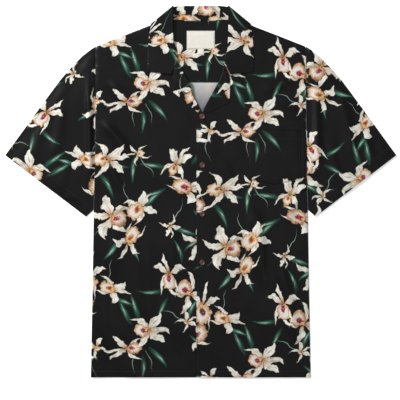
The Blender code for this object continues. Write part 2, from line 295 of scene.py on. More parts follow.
def ripple(x, y, size, seed):
    """Smooth uneven waves from -1 to 1, about size across."""
    rng = random.Random(seed)
    total = 0
    for _ in range(5):
        turn, phase = rng.uniform(0, math.tau), rng.uniform(0, math.tau)
        rate = math.tau / (size * rng.uniform(0.7, 1.6))
        total = total + np.sin((x * math.cos(turn) + y * math.sin(turn)) * rate + phase)
    return total / 3


# ---- How the stack of cloth lies
def over_collar(height):
    low, high = OVER_COLLAR_ROWS
    return (COLLAR_WALL + PLY_GAP) * np.clip((height - low) / (high - low), 0, 1)


def edge_distance(x, height):
    """Distance in from the seam at the shirt's side or shoulder. Along the armhole there is none."""
    x = np.abs(x)
    side = half_width(height) - x
    run = direction(SHOULDER_TIP, NECK_POINT)
    shoulder = np.abs(run[0] * (height - SHOULDER_TIP[1]) - run[1] * (x - SHOULDER_TIP[0]))
    armhole = (UNDERARM < height) & (height < SHOULDER_TIP[1] - 0.02) | (x > SHOULDER_TIP[0] + 0.01)
    low = blend(side, EDGE_ROUND, ease((height - UNDERARM) / 0.03))
    return np.where(height <= UNDERARM, side, np.where(armhole, low, shoulder))


def ridges(table, x, height):
    total = np.zeros_like(x)
    for x0, y0, x1, y1, rise, width in table:
        dx, dy = x1 - x0, y1 - y0
        share = ((x - x0) * dx + (height - y0) * dy) / (dx * dx + dy * dy)
        bow = 0.10 * width * np.sin(share * 7 + x0 * 90)
        off = ((x - x0) * dy - (height - y0) * dx) / math.hypot(dx, dy) + bow
        ends = ease(share / 0.35) * ease((1 - share) / 0.35)
        total += rise * ends * np.exp(-((off / width) ** 2))
    return total


def puckers(x, height):
    """Small gathers that run in from the armhole and side seams."""
    off = np.abs(half_width(height) - np.abs(x))
    near = np.exp(-off / 0.016) * (np.abs(height - 0.36) < 0.345)
    wave = np.sin(height * math.tau / 0.017 + 3 * ripple(x, height, 0.09, 3))
    return 0.00035 * near * wave * (0.6 + 0.4 * ripple(x, height, 0.06, 8))


def front_level(x, height):
    """Underside of a front, or of a sleeve's upper ply, lying on the back."""
    x, height = np.asarray(x, float), np.asarray(height, float)
    yoke = PLY * ease((height - YOKE_SEAM) / YOKE_RAMP + 1) * ease((0.275 - np.abs(x)) / 0.04)
    lift = LOFT + ridges(FOLDS, x, height) + ridges(CREASES, x, height)
    lift = lift + 0.0011 * ripple(x, height, 0.15, 1) + 0.00055 * ripple(x, height, 0.052, 2)
    lift = np.maximum(lift, 0.0001) + puckers(x, height)
    return PLY + yoke + over_collar(height) + lift * rounded(edge_distance(x, height) / EDGE_ROUND)


def top_front_level(x, height):
    """Underside of the wearer's left front, which rises over the other front where they overlap."""
    return front_level(x, height) + PLY * ease((UNDER_EDGE - x) / OVERLAP_RAMP + 1)


# ---- Materials: patterns are written as arithmetic on wires of a node tree
class Wire:
    """An output in a node tree, with arithmetic for the ones that are numbers."""

    def __init__(self, socket):
        self.socket = socket
        self.tree = socket.id_data

    def do(self, operation, *others, clamp=False):
        values = dict(enumerate((self, *others)))
        return wired("ShaderNodeMath", values, operation=operation, use_clamp=clamp)

    def __add__(self, other):
        return self.do("ADD", other)

    def __sub__(self, other):
        return self.do("SUBTRACT", other)

    def __rsub__(self, other):
        return (self * -1.0) + other

    def __mul__(self, other):
        return self.do("MULTIPLY", other)

    def __truediv__(self, other):
        return self.do("DIVIDE", other)

    def __pow__(self, other):
        return self.do("POWER", other)

    def clamp(self):
        return self.do("ADD", 0.0, clamp=True)

    def over(self, limit):
        return self.do("GREATER_THAN", limit)


def feed(node, values):
    """Links wires to a node's inputs, or sets the inputs to constants. Inputs go by number or name."""
    for key, value in values.items():
        if isinstance(value, Wire):
            value.tree.links.new(value.socket, node.inputs[key])
        else:
            node.inputs[key].default_value = value


def wired(kind, values, out=0, **settings):
    """A new node with its settings and inputs, as the wire of one of its outputs."""
    tree = next(value.tree for value in values.values() if isinstance(value, Wire))
    node = tree.nodes.new(kind)
    for key, value in settings.items():
        setattr(node, key, value)
    feed(node, values)
    return Wire(node.outputs[out])


def vector(*parts):
    return wired("ShaderNodeCombineXYZ", dict(enumerate(parts)))


def noise(place, scale, detail=2.0, roughness=0.5, out="Fac"):
    values = {"Vector": place, "Scale": scale, "Detail": detail, "Roughness": roughness}
    return wired("ShaderNodeTexNoise", values, out)


def mix(share, a, b):
    """A colour between colours a and b."""
    return wired("ShaderNodeMix", {0: share, 6: a, 7: b}, out=2, data_type="RGBA")


def bump(height, strength, distance):
    return wired("ShaderNodeBump", {"Height": height, "Strength": strength, "Distance": distance})


def split(wire):
    node = wire.tree.nodes.new("ShaderNodeSeparateXYZ")
    feed(node, {0: wire})
    return [Wire(out) for out in node.outputs]


def ramp(wire, *stops):
    """A colour for each value. Stops are (position, red, green, blue)."""
    node = wire.tree.nodes.new("ShaderNodeValToRGB")
    feed(node, {0: wire})
    while len(node.color_ramp.elements) < len(stops):
        node.color_ramp.elements.new(0.5)
    for element, (position, *colour) in zip(node.color_ramp.elements, stops):
        element.position = position
        element.color = srgb(*colour)
    return Wire(node.outputs["Color"])


def attribute(tree, name):
    node = tree.nodes.new("ShaderNodeAttribute")
    node.attribute_name = name
    return Wire(node.outputs["Vector"])


def object_place(tree):
    return Wire(tree.nodes.new("ShaderNodeTexCoord").outputs["Object"])


def motif_group(name):
    """A node group that turns a motif's own coordinates into a colour and a mask: the three
    coordinates and the output node."""
    tree = bpy.data.node_groups.new(name, "ShaderNodeTree")
    sockets = (("Place", "INPUT", "Vector"), ("Color", "OUTPUT", "Color"), ("Mask", "OUTPUT", "Float"))
    for label, way, kind in sockets:
        tree.interface.new_socket(label, in_out=way, socket_type="NodeSocket" + kind)
    place = Wire(tree.nodes.new("NodeGroupInput").outputs[0])
    return split(place), tree.nodes.new("NodeGroupOutput")


def warped(x, y, seed, scale, amount):
    """x and y moved about by smooth noise, so no two motifs have one outline."""
    moved = split(noise(vector(x, y, seed * 37.0), scale, 1.0, out="Color"))
    return x + (moved[0] - 0.5) * amount, y + (moved[1] - 0.5) * amount


# One tepal a row: direction in degrees, length, half width, bend, curl of its tip
TEPALS = (
    (220, 1.04, 0.150, 0.22, 1.7),
    (-40, 1.04, 0.150, -0.24, -1.5),
    (94, 1.10, 0.140, 0.14, -1.4),
    (156, 1.06, 0.205, -0.24, 1.5),
    (24, 1.06, 0.205, 0.22, -1.3),
)


def tepals(x, y, seed, star, cloudy, frayed):
    """Colour and mask of a bloom's five tepals. Each lies over the one before."""
    sweep = 1.0 - seed * 0.16
    plump = (seed * 17.0).do("SINE") * 0.22 + 1.02 - star * 0.22
    shade = None
    mask = None
    for number, (degrees, length, width, bend, curl) in enumerate(TEPALS):
        swing = (seed * 41.0 + number * 2.1).do("SINE")
        turn = sweep * math.radians(degrees - 90) + swing * 0.20 + math.pi / 2
        cos, sin = turn.do("COSINE"), turn.do("SINE")
        share = ((x * cos + y * sin) / length).clamp()
        late = (share - 0.56).do("MAXIMUM", 0.0)
        across = y * cos - x * sin - share * share * bend - late * late * (swing * 0.8 + curl)
        wave = (share * 15.0 + across.do("SIGN") * 1.4 + swing * 3.0).do("SINE")
        profile = (share**1.12) * ((1.0 - share) ** 1.15) * (width * 4.55) * plump
        profile = profile * (wave * 0.12 + frayed * 0.7 + 1.0)
        flat = across.do("ABSOLUTE")
        depth = profile - flat
        streak = noise(vector(share * 1.6, across * 24.0, seed * 19.0 + number), 1.0) - 0.5
        fold = (1.0 - flat / 0.030).clamp() * (1.0 - share) * 0.20
        rim = (1.0 - (depth / 0.034).clamp()) * 0.30
        tone = (depth / 0.080).clamp() * 0.18 + share * 0.26 + cloudy * 1.1 + streak * 1.5
        tone = tone - fold - rim + 0.39
        inside = (depth / 0.014).clamp()
        if shade is None:
            shade, mask = tone, inside
        else:
            shade = shade + (tone - shade) * inside
            mask = mask.do("MAXIMUM", inside)
    colour = ramp(
        shade.clamp(),
        (0.00, 96, 80, 70),
        (0.24, 150, 139, 126),
        (0.48, 193, 188, 175),
        (0.72, 215, 212, 201),
        (1.00, 229, 228, 220),
    )
    return colour, mask


def orchid():
    """A bloom of radius 1: five pointed tepals, a ruffled lip below and a deep throat. The third
    coordinate holds its kind (1 wide open, 2 a small star) and, after the point, its variation."""
    (plain_x, plain_y, code), out = motif_group("orchid")
    kind, seed = code.do("FLOOR"), code.do("FRACT")
    star = kind.over(1.5)
    x, y = warped(plain_x, plain_y, seed, 2.1, 0.34)
    x, y = warped(x, y, seed, 7.5, 0.075)
    spot = vector(plain_x, plain_y, seed * 37.0)
    cloudy = noise(spot, 3.4, 1.0) - 0.5
    frayed = noise(spot, 10.0) - 0.5
    grain = noise(spot, 15.0, 3.0) - 0.5
    petals, mask = tepals(x, y, seed, star, cloudy, frayed)
    centre = (x * x + y * y).do("SQRT")
    warmth = mix((cloudy * 4.0 + 0.5).clamp(), srgb(204, 168, 96), srgb(178, 112, 70))
    petals = mix(((0.42 - centre + cloudy * 0.6) * 2.2).clamp() * 0.75, petals, warmth)
    petals = mix(((0.25 - centre + grain * 0.7) * 5.0).clamp() * 0.60, petals, srgb(138, 78, 40))

    size = (seed * 23.0).do("SINE") * 0.090 + 0.385 - star * 0.19
    drop = y + 0.37 - star * 0.18
    turn = drop.do("ARCTAN2", x)
    scallop = (turn * 3.5 + seed * 30.0 + cloudy * 3.0).do("SINE").do("ABSOLUTE") * 0.17 - 0.10
    edge = size * (scallop + frayed * 0.30 + cloudy * 0.22 + 1.0)
    reach = (x * x * 0.86 + drop * drop).do("SQRT") / edge
    fan = (turn * 13.0 + frayed * 9.0).do("SINE")
    lip_inside = ((1.0 - reach) / 0.035).clamp()
    bleach = ((seed * 61.0).do("SINE") - 0.1).clamp() * 0.20
    lip = ramp(
        (reach + fan * 0.05 + grain * 0.34 + cloudy * 0.30 - bleach).clamp(),
        (0.00, 204, 202, 203),
        (0.40, 212, 209, 203),
        (0.56, 207, 186, 159),
        (0.74, 187, 150, 112),
        (0.90, 156, 114, 81),
        (1.00, 108, 76, 54),
    )
    heart = y + 0.22 - star * 0.14
    depth = (x * x * 1.5 + heart * heart).do("SQRT") / size + fan * 0.05
    throat = ramp(
        (depth + grain * 0.55).clamp(),
        (0.00, 178, 122, 128),
        (0.13, 104, 24, 42),
        (0.30, 132, 38, 58),
        (0.42, 186, 118, 110),
        (0.56, 216, 198, 190),
    )
    brown = ramp(
        (depth + grain * 0.40).clamp(),
        (0.00, 96, 44, 30),
        (0.26, 160, 84, 44),
        (0.46, 206, 152, 100),
        (0.62, 220, 194, 160),
    )
    throat = mix((star + (seed - 0.60).over(0.0)).clamp(), throat, brown)
    lip = mix(((0.60 - depth) / 0.14).clamp(), lip, throat)
    column = ((0.080 - (x * x * 1.3 + (y + 0.02) * (y + 0.02) * 0.45).do("SQRT")) / 0.03).clamp()
    colour = mix(column * 0.85, mix(lip_inside, petals, lip), srgb(212, 176, 92))
    feed(out, {0: colour, 1: mask.do("MAXIMUM", lip_inside) * kind.over(0.5)})
    return out.id_data


LEAF_BEND = 1.10


def leaf():
    """A strap leaf from 0 to 1 along x, or a thin curling stem. The third coordinate holds its kind
    (1 leaf, 2 stem) and its variation."""
    (x, y, code), out = motif_group("leaf")
    kind, seed = code.do("FLOOR"), code.do("FRACT")
    stem = kind.over(1.5)
    share = x.clamp()
    streaks = noise(vector(x * 2.2, y * 30.0, seed * 29.0), 1.0, 3.0) - 0.5
    wander = noise(vector(x, seed * 31.0, 0.0), 2.8, 1.0) - 0.5
    curling = (share * 6.5 + seed * 40.0).do("SINE") * share * stem * 0.100
    across = y - share * share * (seed - 0.5) * LEAF_BEND + wander * share * (stem * 0.30 + 0.12) + curling
    profile = (share**0.80) * ((1.0 - share) ** 1.05) * 0.335 * (streaks * 0.25 + 1.0) + 0.004
    profile = profile + ((1.0 - share) * 0.016 + 0.008 - profile) * stem
    depth = profile - across.do("ABSOLUTE")
    inside = (depth / 0.008).clamp() * x.over(0.0) * (1.0 - x.over(1.0))
    side = across / (profile + 0.002)
    light = (1.0 - (side - 0.12).do("ABSOLUTE") * 1.25).clamp() * (streaks * 1.8 + 0.85).clamp()
    middle = (1.10 - (share - 0.56).do("ABSOLUTE") * 2.7).clamp()
    colour = ramp(
        (light * middle * 1.15 + streaks * 0.32 + stem * 0.46 + 0.09).clamp(),
        (0.00, 14, 36, 29),
        (0.18, 24, 60, 47),
        (0.44, 46, 86, 70),
        (0.74, 94, 128, 113),
        (1.00, 146, 168, 156),
    )
    feed(out, {0: colour, 1: inside * kind.over(0.5)})
    return out.id_data


GROUPS = {"bloom": orchid(), "leaf": leaf()}


def printed(ground):
    """The design over the ground colour, leaves first and blooms on top, and the mask of both."""
    colour, cover = ground, None
    slots = [("leaf", n) for n in range(LEAF_SLOTS)] + [("bloom", n) for n in range(BLOOM_SLOTS)]
    for kind, number in slots:
        group = ground.tree.nodes.new("ShaderNodeGroup")
        group.node_tree = GROUPS[kind]
        feed(group, {0: attribute(ground.tree, f"{kind}_{number}")})
        shade, mask = (Wire(out) for out in group.outputs)
        colour = mix(mask, colour, shade)
        cover = mask if cover is None else cover.do("MAXIMUM", mask)
    return colour, cover


def material(name, roughness, sheen=0.0, specular=0.5):
    made = bpy.data.materials.new(name)
    made.use_nodes = True
    shader = made.node_tree.nodes["Principled BSDF"]
    feed(shader, {"Roughness": roughness, "Specular IOR Level": specular})
    feed(shader, {"Sheen Weight": sheen, "Sheen Roughness": 0.45})
    return made, shader


def woven(name, pitch, depth, blotch, **finish):
    """A cloth material with a plain weave as bump: itself, its shader, the cloth's own coordinates
    and a cloudy noise on them."""
    made, shader = material(name, **finish)
    u, v, _ = split(attribute(made.node_tree, "grain"))
    warp, weft = ((thread * (math.tau / pitch)).do("SINE") for thread in (u, v))
    slub = noise(vector(u * 900.0, v * 60.0, 0.0), 1.0)
    feed(shader, {"Normal": bump(warp * weft * 0.5 + slub, 0.5, depth)})
    return made, shader, u, v, noise(vector(u, v, 0.0), *blotch)


def print_cloth():
    made, shader, u, v, cloudy = woven(
        "printed_rayon", *RAYON_WEAVE, (22.0, 3.0), roughness=0.38, sheen=0.02, specular=0.150)
    fine = noise(vector(u * 40.0, v * 7.0, 0.0), 60.0, 1.0)
    ground = mix(cloudy * 0.7 + fine * 0.3, srgb(7, 7, 7), srgb(18, 18, 18))
    feed(shader, {"Base Color": printed(ground)[0]})
    return made


def wrong_side(name, shaded):
    """Inside of the cloth: pale, with the design showing through faintly. Shaded, it also has painted shade:
    it greys towards the foot of the neck opening, standing in for the shadow of the fronts that meet over it."""
    made, shader, u, v, cloudy = woven(name, *RAYON_WEAVE, (30.0, 3.0), roughness=0.85, specular=0.2)
    ground = mix(cloudy, srgb(170, 170, 170), srgb(190, 189, 187))
    colour, cover = printed(ground)
    ghost = mix(cover * 0.42, ground, srgb(214, 214, 208))
    tinted = mix(cover * 0.30, ghost, colour)
    if shaded:
        blotch = (cloudy - 0.5) * 0.5
        dx, dy = CUT_AT["back"]
        across = ramp(
            ((u * -1.0 + (dx + 0.025)) / 0.066 + blotch).clamp(),
            (0.05, 150, 172, 158),
            (0.32, 186, 188, 186),
            (0.60, 200, 194, 184),
            (0.90, 190, 168, 176),
        )
        # Painted shadow: towards the foot of the neck opening the colour goes to blue-grey srgb(84, 84, 100),
        # standing in for the shadow the fronts cast there. The left-right tints above are the design showing
        # through.
        down = ((v * -1.0 + (dy + YOKE_SEAM)) / (YOKE_SEAM - BREAK)).clamp()
        tinted = mix((down + blotch).clamp() * 0.96, mix(0.75, tinted, across), srgb(84, 84, 100))
    feed(shader, {"Base Color": tinted})
    return made


def label_cloth():
    made, shader, _, v, cloudy = woven(
        "label_satin", LABEL_RIB, 0.00008, (90.0,), roughness=0.42, sheen=0.1, specular=0.4)
    rib = (v * (math.tau / LABEL_RIB)).do("SINE") * 0.5 + 0.5
    feed(shader, {"Base Color": mix(rib * 0.5 + cloudy * 0.5, srgb(206, 202, 190), srgb(232, 229, 219))})
    return made


def button_stuff():
    made, shader = material("coconut_button", 0.36)
    place = object_place(made.node_tree)
    x, y, z = split(place)
    fibre = noise(vector(x, y * 0.16, z), 2600.0, 4.0, 0.6)
    colour = ramp(
        (fibre * 0.65 + noise(place, 420.0) * 0.45 - 0.05).clamp(),
        (0.20, 34, 18, 14),
        (0.45, 74, 42, 33),
        (0.62, 106, 64, 52),
        (0.85, 138, 92, 76),
    )
    feed(shader, {"Base Color": colour, "Roughness": fibre * 0.22 + 0.26})
    feed(shader, {"Normal": bump(fibre, 0.25, 0.0001)})
    return made


def thread_stuff(name, dark, light):
    made, shader = material(name, 0.6, sheen=0.1, specular=0.3)
    twist = noise(object_place(made.node_tree), 3000.0)
    feed(shader, {"Base Color": mix(twist, dark, light), "Normal": bump(twist, 0.4, 0.00005)})
    return made


PRINT = print_cloth()
WRONG = wrong_side("rayon_wrong_side", False)
BACK_WRONG_PAINTED_SHADE = wrong_side("rayon_back_wrong_side_painted_shade", True)
LABEL = label_cloth()
BUTTON = button_stuff()
BLACK_THREAD = thread_stuff("black_thread", srgb(20, 20, 22), srgb(52, 52, 54))
BROWN_THREAD = thread_stuff("button_thread", srgb(54, 34, 26), srgb(112, 78, 58))
PALE_THREAD = thread_stuff("label_thread", srgb(150, 146, 136), srgb(196, 192, 182))


# ---- Motifs laid on a piece
def sprig_motifs():
    """Every motif of one repeat as (kind, code, x, height, turn, length or radius, squash)."""
    rng = random.Random(11)

    def code(kind):
        return kind + rng.uniform(0.04, 0.96)

    motifs = []
    for x, y, turn, blooms, leaves, stems in SPRIGS:
        for n in range(leaves + stems):
            stem = n >= leaves
            pair = turn + 95 + 165 * (n // 2)
            a = math.radians(pair + (24 if n % 2 else -24) + rng.uniform(-12, 12))
            out = rng.uniform(0.028, 0.042)
            length = rng.uniform(0.042, 0.066) if stem else rng.uniform(0.048, 0.066)
            at = (x + out * math.cos(a), y + out * math.sin(a))
            motifs.append(("leaf", code(2 if stem else 1), *at, a, length, 1.0))
        for n in range(blooms):
            a = math.radians(turn + 360 * n / blooms + rng.uniform(-18, 18))
            out = (0.0, 0.029, 0.040)[blooms - 1] + rng.uniform(-0.002, 0.006)
            radius = (0.0490, 0.0440, 0.0385)[n] * rng.uniform(0.94, 1.06)
            at = (x + out * math.cos(a), y + out * math.sin(a))
            kind = code(1)
            facing = a - math.pi / 2 + rng.uniform(-0.9, 0.9)
            motifs.append(("bloom", kind, *at, facing, radius, rng.uniform(0.66, 1.0)))
    for x, y, turn, radius in SINGLES:
        a = math.radians(turn)
        motifs.append(("leaf", code(1), x, y, a + 2.4, 0.062, 1.0))
        motifs.append(("leaf", code(2), x, y, a + 3.6, 0.060, 1.0))
        motifs.append(("bloom", code(2), x, y, a, radius, 0.9))
    return motifs


MOTIFS = sprig_motifs()
MOTIF_REACH = 0.12  # no motif reaches further than this from its own place


def repeats_over(values, size):
    """Numbers of the repeats whose motifs can reach these places."""
    first = math.floor((values.min() - MOTIF_REACH) / size)
    return range(first, math.floor((values.max() + MOTIF_REACH) / size) + 1)


def lay_motifs(px, py, reach):
    """For faces with corners px, py (faces by 4), the motifs' coordinates in each slot."""
    slots = {}
    centre_x, centre_y = px.mean(axis=1), py.mean(axis=1)
    wide, high = REPEAT
    tiles = [(i * wide, j * high) for i in repeats_over(px, wide) for j in repeats_over(py, high)]
    for kind, count in (("leaf", LEAF_SLOTS), ("bloom", BLOOM_SLOTS)):
        held = np.zeros(len(px), int)
        layers = [np.zeros((len(px), 4, 3)) for _ in range(count)]
        own = [motif[1:] for motif in MOTIFS if motif[0] == kind]
        for (code, mx, my, turn, size, squash), (tx, ty) in itertools.product(reversed(own), tiles):
            cos, sin = math.cos(turn), math.sin(turn)
            dx, dy = centre_x - mx - tx, centre_y - my - ty
            ax, ay = (dx * cos + dy * sin) / size, (dy * cos - dx * sin) / size
            slack = reach / size
            if kind == "leaf":
                bend = (code % 1 - 0.5) * LEAF_BEND
                share = np.clip(ax, 0, 1)
                near = np.hypot(ax - share, ay - bend * share**2) < 0.210 + slack * 1.4
            else:
                near = np.hypot(ax / squash, ay) < 1.22 + slack / squash
            near &= held < count
            for filled in range(count):
                faces = np.nonzero(near & (held == filled))[0]
                gx, gy = px[faces] - mx - tx, py[faces] - my - ty
                layer = layers[count - 1 - filled]
                layer[faces, :, 0] = (gx * cos + gy * sin) / size / squash
                layer[faces, :, 1] = (gy * cos - gx * sin) / size
                layer[faces, :, 2] = code
            held[near] += 1
        for number, layer in enumerate(layers):
            slots[f"{kind}_{number}"] = layer
    return slots


# ---- Shells
def in_scene(name, data):
    obj = bpy.data.objects.new(name, data)
    bpy.context.scene.collection.objects.link(obj)
    return obj


def piece(name, mesh, node=None, place=(0, 0, 0), turn=0.0):
    obj = in_scene(name, mesh)
    obj.location = place
    obj.rotation_euler = (0, 0, turn)
    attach(obj, "root")
    if node:
        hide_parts(node)
    return obj


def shell(name, node, columns, rows, place, pattern, flip=False, wall=SHELL, looks=(PRINT, WRONG),
          closed=False, motifs=True):
    """A ply of cloth as a fine grid. place(u, v) gives its outer face, and pattern(x, y, u, v) where
    each point is on the uncut cloth."""
    u, v = np.meshgrid(np.linspace(0, 1, columns + 1), np.linspace(0, 1, rows + 1))
    x, y, z = (np.broadcast_to(a, u.shape) for a in place(u, v))
    px, py = (np.broadcast_to(a, u.shape) for a in pattern(x, y, u, v))
    width = columns if closed else columns + 1
    points = np.stack([x, y + HEM, z], axis=-1)[:, :width].reshape(-1, 3)
    j, i = (grid.ravel() for grid in np.meshgrid(np.arange(rows), np.arange(columns), indexing="ij"))
    corners = [(j, i), (j, i + 1), (j + 1, i + 1), (j + 1, i)]
    if flip:
        corners = corners[::-1]
    faces = np.stack([cj * width + ci % width for cj, ci in corners], axis=1)
    fx, fy = (np.stack([values[c] for c in corners], axis=1) for values in (px, py))
    mesh = bpy.data.meshes.new(name)
    mesh.from_pydata(points.tolist(), [], faces.tolist())
    layers = {"grain": np.stack([fx, fy, fx * 0], axis=-1)}
    if motifs:
        reach = np.hypot(fx - fx.mean(axis=1, keepdims=True), fy - fy.mean(axis=1, keepdims=True)).max()
        layers |= lay_motifs(fx, fy, reach)
    for key, values in layers.items():
        mesh.attributes.new(key, "FLOAT_VECTOR", "CORNER").data.foreach_set("vector", values.ravel())
    for look in looks:
        mesh.materials.append(look)
    mesh.shade_smooth()
    obj = piece(name, mesh, node)
    ply = obj.modifiers.new("ply", "SOLIDIFY")
    ply.thickness = wall
    ply.offset = -1
    ply.material_offset = len(looks) - 1
    ply.use_even_offset = False
    obj.modifiers.new("shading", "WEIGHTED_NORMAL").weight = 100
    return obj


def cut(name, degrees=0.0, side=1):
    """A pattern for a piece that keeps its own shape: the design moved, turned or mirrored."""
    dx, dy = CUT_AT[name]
    cos, sin = math.cos(math.radians(degrees)), math.sin(math.radians(degrees))

    def pattern(x, y, u, v):
        x = x * side
        return x * cos + y * sin + dx, y * cos - x * sin + dy

    return pattern


def make_back():
    def panel(u, v):
        height = v * (YOKE_SEAM - SEAM_GAP)
        return (2 * u - 1) * (half_width(height) - SEAM_GAP), height, CLEAR + 0 * u

    back = shell("back_cloth", "back_panel", 60, 84, panel, cut("back", side=-1), flip=True,
                 looks=(PRINT, BACK_WRONG_PAINTED_SHADE))

    def yoke(level):
        def place(u, v):
            row = blend(YOKE_SEAM, NECK_POINT[1], v)
            x = (2 * u - 1) * (half_width(row) - SEAM_GAP)
            height = np.minimum(row, top_of_back(x))
            return x, height, over_collar(height) + level + CLEAR

        return place

    outer = shell("yoke_cloth", "back_yoke", 60, 20, yoke(0), cut("yoke", side=-1), flip=True)
    inner = shell("inner_yoke_cloth", "inner_yoke", 60, 20, yoke(PLY + SHELL), cut("inner_yoke"))


def front_top(x, height, side):
    """Outer face of a front."""
    level = top_front_level(x, height) if side > 0 else front_level(x, height)
    top = level + CLOTH
    inward = half_width(height) - np.abs(x)
    side_off = np.where(height <= UNDERARM + 0.002, inward, 1.0)
    shoulder_off = np.where(height >= SHOULDER_TIP[1] - 0.012, edge_distance(x, height), 1.0)
    roll = 1 - rounded(np.minimum(side_off, shoulder_off) / 0.0030)
    top = top - (top - 0.0009) * roll
    seam = (height > UNDERARM) & (height < SHOULDER_TIP[1])
    return top - 0.0010 * np.where(seam, np.exp(-((inward / 0.0035) ** 2)), 0)


def make_front(hand, side, edge):
    def place(u, v):
        height = v * NECK_POINT[1]
        outer = side * (half_width(height) - CLEAR)
        x = blend(read(edge, height), outer, 1 - (1 - u) ** 1.25)
        return x, height, front_top(x, height, side) - 0.0004 * (1 - rounded(height / 0.0015))

    name = f"{hand}_front"
    front = shell(f"{name}_cloth", name, 48, 150, place, cut(name), flip=side < 0)


def make_sleeve(hand, side):
    """A flattened tube from the underarm seam along the lower ply to the crest, and back on top."""
    name = f"{hand}_sleeve"
    armhole = [(float(half_width(h)), h) for h in (SHOULDER_TIP[1], 0.60, 0.45, UNDERARM)]

    def turned(x, y):
        """Distance along the sleeve and across it from its fold."""
        x, y = x - SHOULDER_TIP[0], y - SHOULDER_TIP[1]
        return x * SLEEVE_RUN[0] + y * SLEEVE_RUN[1], x * SLEEVE_RUN[1] - y * SLEEVE_RUN[0]

    def place(u, v):
        lower = u < 0.5
        share = 0.5 - 0.5 * np.cos(math.pi * np.where(lower, 1 - 2 * u, 2 * u - 1))
        cx, cy = along(SLEEVE_CREST, v)
        ux = blend(half_width(UNDERARM), SLEEVE_UNDER[0], v)
        uy = blend(UNDERARM, SLEEVE_UNDER[1], v)
        ax, ay = along(armhole, share)
        pull = (1 - v) ** 8
        x = blend(blend(cx, ux, share), ax, pull) + SEAM_GAP * (1 - v)
        y = blend(blend(cy, uy, share), ay, pull)
        near = np.minimum(share, 1 - share) * np.hypot(ux - cx, uy - cy)
        seam = np.abs(x - half_width(y))
        dip = 0.0012 * np.exp(-((seam / 0.0035) ** 2)) + 0.0012 * np.exp(-((seam / 0.014) ** 2))
        level = front_level(side * x, y) + CLOTH - dip
        half = blend(SLEEVE_FOLD, np.maximum(level, SLEEVE_FOLD), ease(near / 0.030)) / 2
        roll = rounded(near / half)
        return side * x, y, np.where(lower, half * (1 - roll), half * (1 + roll)) + CLEAR

    def pattern(x, y, u, v):
        length, across = turned(np.abs(x), y)
        fold = turned(*along(SLEEVE_CREST, v))[1]
        across = np.where(u < 0.5, 2 * fold - across, across)
        return across * side + CUT_AT[name][0], CUT_AT[name][1] - length

    sleeve = shell(f"{name}_cloth", name, 128, 64, place, pattern, flip=side < 0, closed=True)


def make_lapel(hand, side, edge, roll_high, outer):
    """A lapel turned back over its front. It starts on the front's edge and bulges at the roll."""
    curl = 0.10  # share of the columns that go round the roll

    def place(u, v):
        height = blend(ROLL_LOW, roll_high, v)
        rx = read(edge, height)
        ox, oy = along(outer, v)
        share = np.clip((u - curl) / (1 - curl), 0, 1)
        x, y = blend(rx, ox, share), blend(height, oy, share)
        angle = np.clip(u / curl, 0, 1) * math.pi / 2
        bulge = 0.0018 * np.sin(np.clip(share * 1.15, 0, 1) * math.pi) * (0.5 + 0.5 * v)
        base = front_top(x, y, side)
        top = base + 0.0013 + 0.0016 * np.exp(-share * 5) * ease(v * 4) + bulge * 0.6
        out = 0.0012 * np.cos(angle) * (u < curl) * np.sign(rx - ox)
        return x + out, y, blend(base - CLOTH * 0.9, top, np.sin(angle))

    pattern = cut(f"{hand}_lapel", degrees=50 * side)
    lapel = shell(f"{hand}_lapel_cloth", f"{hand}_facing", 26, 36, place, pattern, flip=side < 0)


def collar_sections():
    """Cross-sections of the collar from its +X end over the shoulder to the centre of the back."""
    half_wall = COLLAR_WALL / 2
    turn = 0.0013  # radius of the roll

    def section(roll, free, seam, levels):
        roll, free, seam = Vector(roll), Vector(free), Vector(seam)
        out, back = (free - roll).normalized(), (seam - roll).normalized()
        at_seam, under, over, near, far, edge = levels
        flat = (
            (seam, at_seam),
            (roll + back * turn, under),
            (roll, (under + over) / 2),
            (roll + out * turn, over),
            (roll.lerp(free, 0.4), near),
            (roll.lerp(free, 0.7), far),
            (free, edge),
        )
        return [(spot.x, spot.y, z) for spot, z in flat]

    def on_front(roll, free, seam):
        def rest(point):
            return float(front_level(point[0], min(point[1], 0.752))) + CLOTH + 0.0012

        near, far = (Vector(roll).lerp(Vector(free), share) for share in (0.4, 0.7))
        return (
            rest(seam),
            rest(roll),
            rest(roll) + 2 * turn + 0.0006,
            rest(near) + 1.9 * turn,
            rest(far) + 1.1 * turn,
            rest(free) + 0.1 * turn,
        )

    seam_level = float(over_collar(BACK_NECK)) + CLOTH
    under_yoke = (seam_level, half_wall + 2 * turn, *(half_wall,) * 4)
    made = [section(*lines, on_front(*lines)) for lines in COLLAR_FRONT]
    roll, free, seam = (Vector(p) for p in COLLAR_SHOULDER)
    inward = Vector((-(roll - free).y, (roll - free).x)).normalized()
    shoulder_top = on_front(*(tuple(p + inward * COLLAR_FOLD) for p in (roll, free, seam)))
    for degrees in (90, 45, 0, -45, -90):
        angle = math.radians(degrees)
        moved = inward * (half_wall + COLLAR_FOLD * (1 - math.cos(angle)))
        share = (1 - math.sin(angle)) / 2
        levels = [blend(a, b, share) for a, b in zip(shoulder_top, under_yoke)]
        made.append(section(roll + moved, free + moved, seam + moved * 1.2, levels))
    back = [[(x, y - half_wall * (n == 0)) for n, (x, y) in enumerate(lines)] for lines in COLLAR_BACK]
    return np.array(made + [section(*lines, under_yoke) for lines in back])


